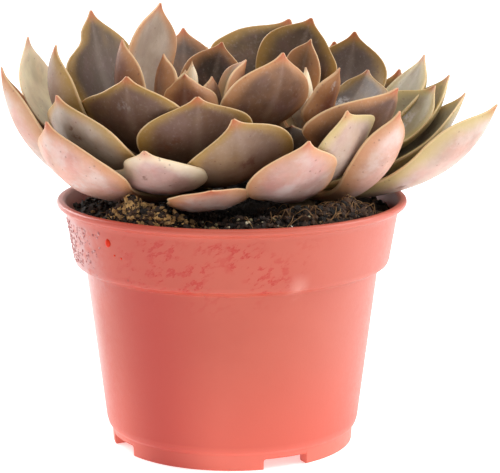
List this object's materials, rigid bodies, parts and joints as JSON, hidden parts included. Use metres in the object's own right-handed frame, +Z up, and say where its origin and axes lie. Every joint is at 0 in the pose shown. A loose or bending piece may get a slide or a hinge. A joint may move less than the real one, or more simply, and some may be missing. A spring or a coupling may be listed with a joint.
{
  "type": "potted succulent",
  "caption": "Rosette succulent with fleshy pointed leaves on short stems, in soil inside a tapered round nursery pot with a collar and a notched foot.",
  "frame": {"origin": "middle of the pot's base pad, on the surface it stands on", "axes": "+Z up along the pot's axis; +X along the row of the two rosettes, the plant's widest way; -Y towards the side it is seen from"},
  "size_m": [0.1665, 0.12, 0.151],
  "materials": {
    "pot": "satin terracotta-coloured plastic",
    "soil": "crumbly potting mix",
    "stem": "dry bark",
    "leaf": "waxy bloom"
  },
  "bodies": {
    "root": {"pot": "pot", "soil": "soil", "stem_a": "stem", "stem_b": "stem", "leaf_a_bud_1": "leaf", "leaf_a_bud_2": "leaf", "leaf_a_inner_1": "leaf", "leaf_a_inner_7": "leaf", "leaf_a_inner_2": "leaf", "leaf_a_inner_3": "leaf", "leaf_a_inner_4": "leaf", "leaf_a_inner_5": "leaf", "leaf_a_inner_6": "leaf", "leaf_a_front_1": "leaf", "leaf_a_front_2": "leaf", "leaf_a_front_3": "leaf", "leaf_a_front_4": "leaf", "leaf_a_front_5": "leaf", "leaf_a_front_6": "leaf", "leaf_a_front_7": "leaf", "leaf_a_front_8": "leaf", "leaf_a_left_1": "leaf", "leaf_a_left_2": "leaf", "leaf_a_left_3": "leaf", "leaf_a_back_1": "leaf", "leaf_a_back_2": "leaf", "leaf_a_back_3": "leaf", "leaf_a_back_4": "leaf", "leaf_a_back_5": "leaf", "leaf_a_back_6": "leaf", "leaf_a_back_7": "leaf", "leaf_a_back_8": "leaf", "leaf_b_bud_1": "leaf", "leaf_b_bud_2": "leaf", "leaf_b_inner_1": "leaf", "leaf_b_inner_5": "leaf", "leaf_b_inner_2": "leaf", "leaf_b_inner_6": "leaf", "leaf_b_inner_3": "leaf", "leaf_b_inner_4": "leaf", "leaf_b_right_1": "leaf", "leaf_b_right_2": "leaf", "leaf_b_right_3": "leaf", "leaf_b_right_4": "leaf", "leaf_b_right_5": "leaf", "leaf_b_right_6": "leaf", "leaf_b_front_1": "leaf", "leaf_b_front_2": "leaf", "leaf_b_front_3": "leaf", "leaf_b_back_1": "leaf", "leaf_b_back_2": "leaf", "leaf_b_back_3": "leaf", "leaf_b_back_4": "leaf", "leaf_b_back_5": "leaf", "leaf_b_back_6": "leaf", "leaf_b_back_7": "leaf"}
  },
  "joints": []
}
